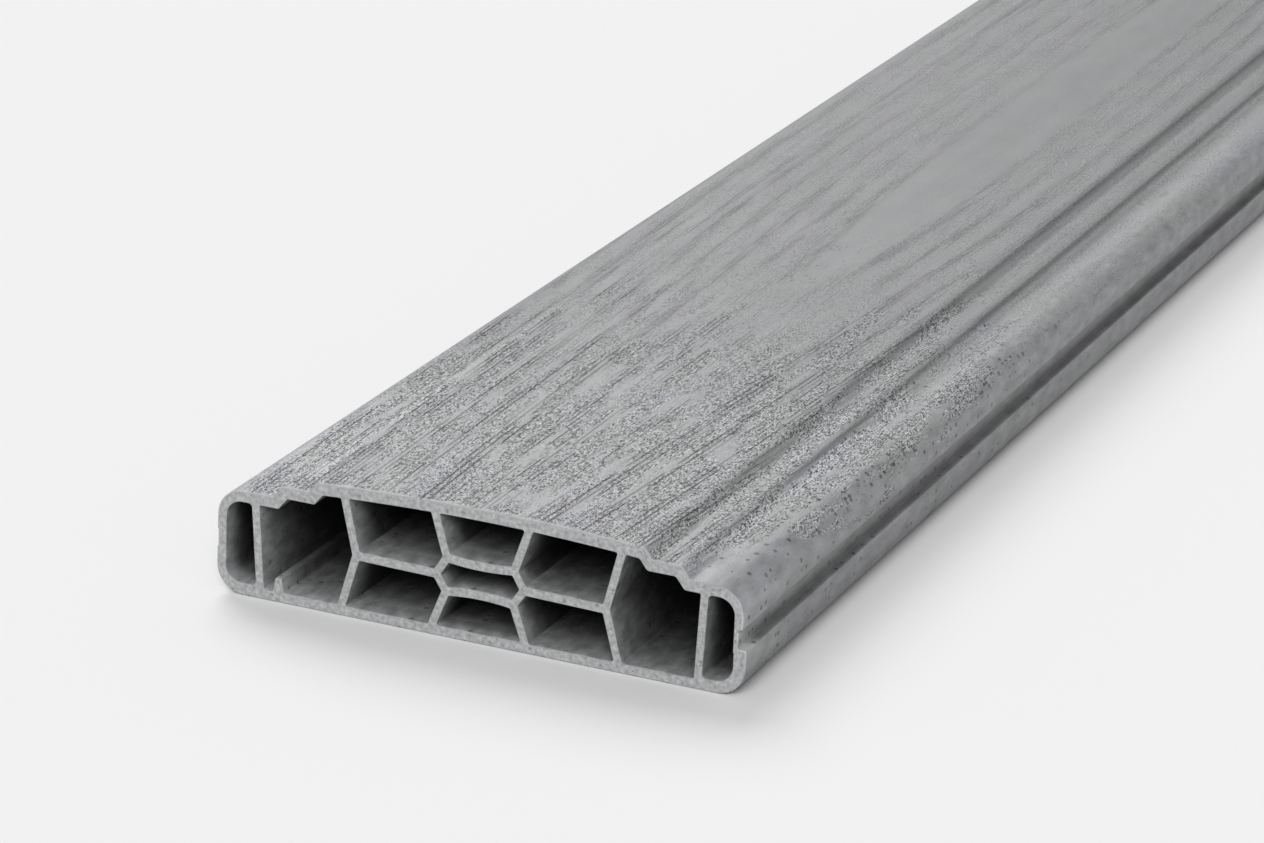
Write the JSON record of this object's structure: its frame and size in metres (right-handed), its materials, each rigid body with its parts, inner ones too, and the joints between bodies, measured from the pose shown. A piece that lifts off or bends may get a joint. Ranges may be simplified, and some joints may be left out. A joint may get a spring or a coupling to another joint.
{
  "type": "hollow pvc trim strip",
  "caption": "Long hollow multi-chamber trim strip with a low crowned face, two steps down each side, rounded edges, a flat back and a groove along one side.",
  "frame": {"origin": "middle of the length and of the width, on the flat back", "axes": "+Y along the strip, away from the cut end seen in the picture; +Z from the flat back towards the crowned face; +X towards the side with the groove"},
  "size_m": [0.1, 2.4, 0.0245],
  "materials": {
    "pvc": "matt light grey, embossed with wood grain on the show face"
  },
  "bodies": {
    "root": {"trim_strip": "pvc"}
  },
  "joints": []
}
